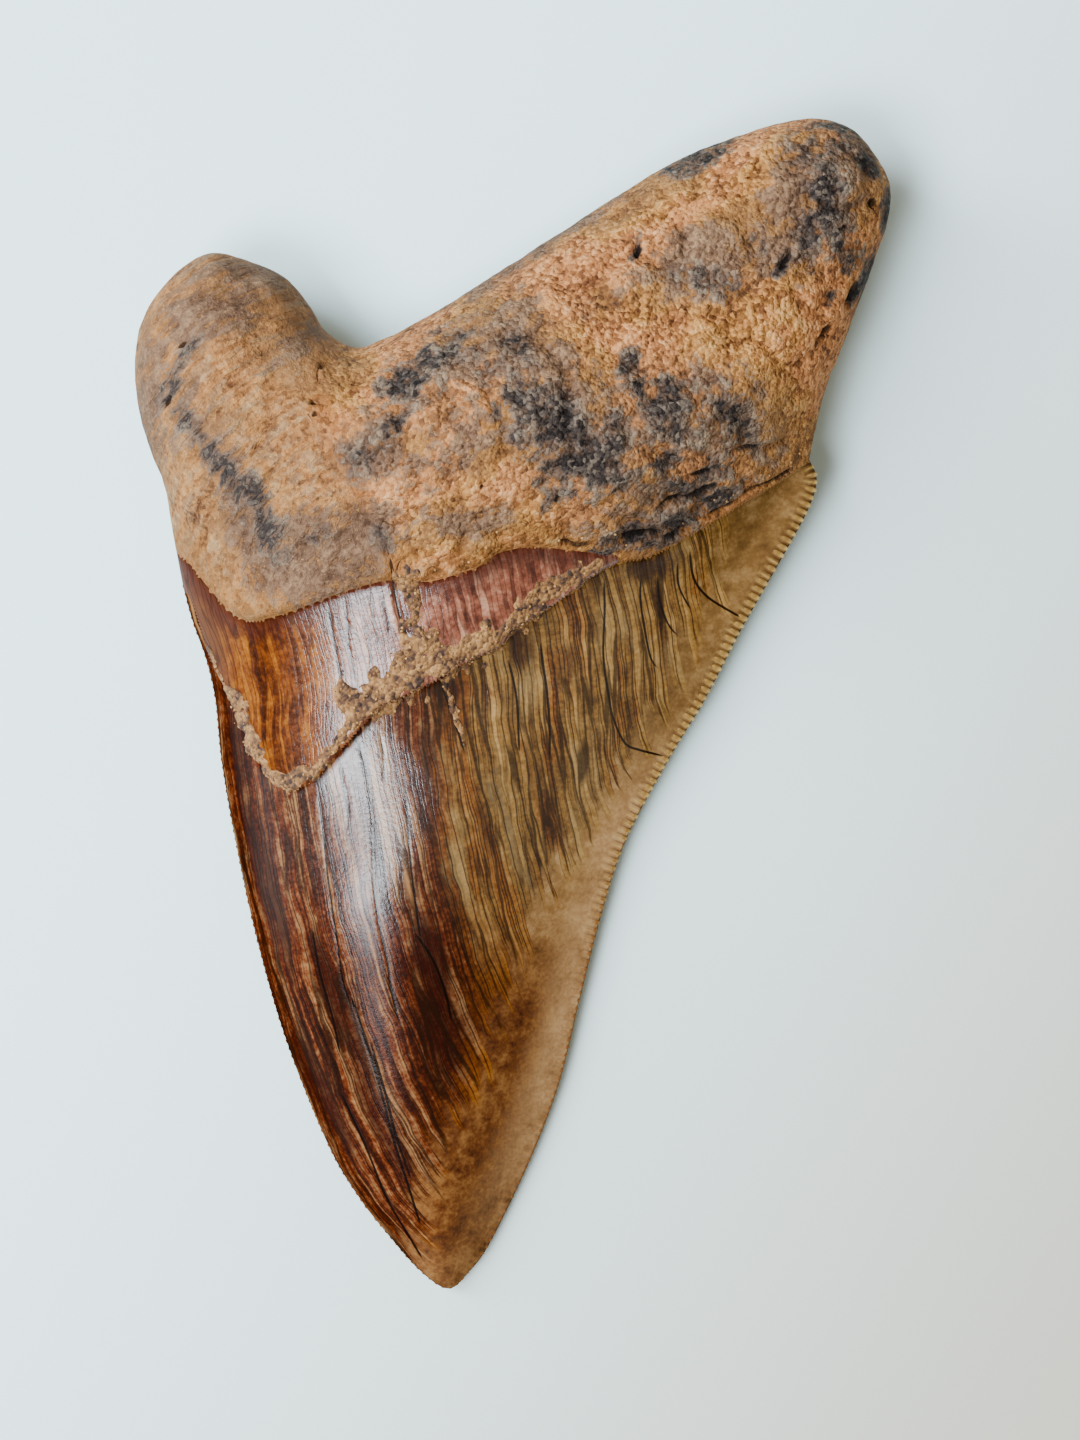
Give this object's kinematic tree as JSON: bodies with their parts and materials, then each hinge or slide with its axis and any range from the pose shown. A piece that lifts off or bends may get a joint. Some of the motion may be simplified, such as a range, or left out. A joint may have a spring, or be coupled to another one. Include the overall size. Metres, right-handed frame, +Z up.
{
  "type": "fossil shark tooth",
  "caption": "Large fossil shark tooth lying on its flatter outer face: serrated triangular enamel crown, a thin bourlette band and a heavy lobed root with an open notch.",
  "frame": {"origin": "on the surface that the tooth rests on, under the middle of its outline", "axes": "+Z up through the bulging inner face, +Y from the tip towards the root, +X across the root towards its longer lobe"},
  "size_m": [0.0774, 0.1212, 0.0244],
  "materials": {
    "fossil_tooth": "glossy worn enamel on the crown, dull granular dentine on the root"
  },
  "bodies": {
    "root": {"tooth": "fossil_tooth"}
  },
  "joints": []
}
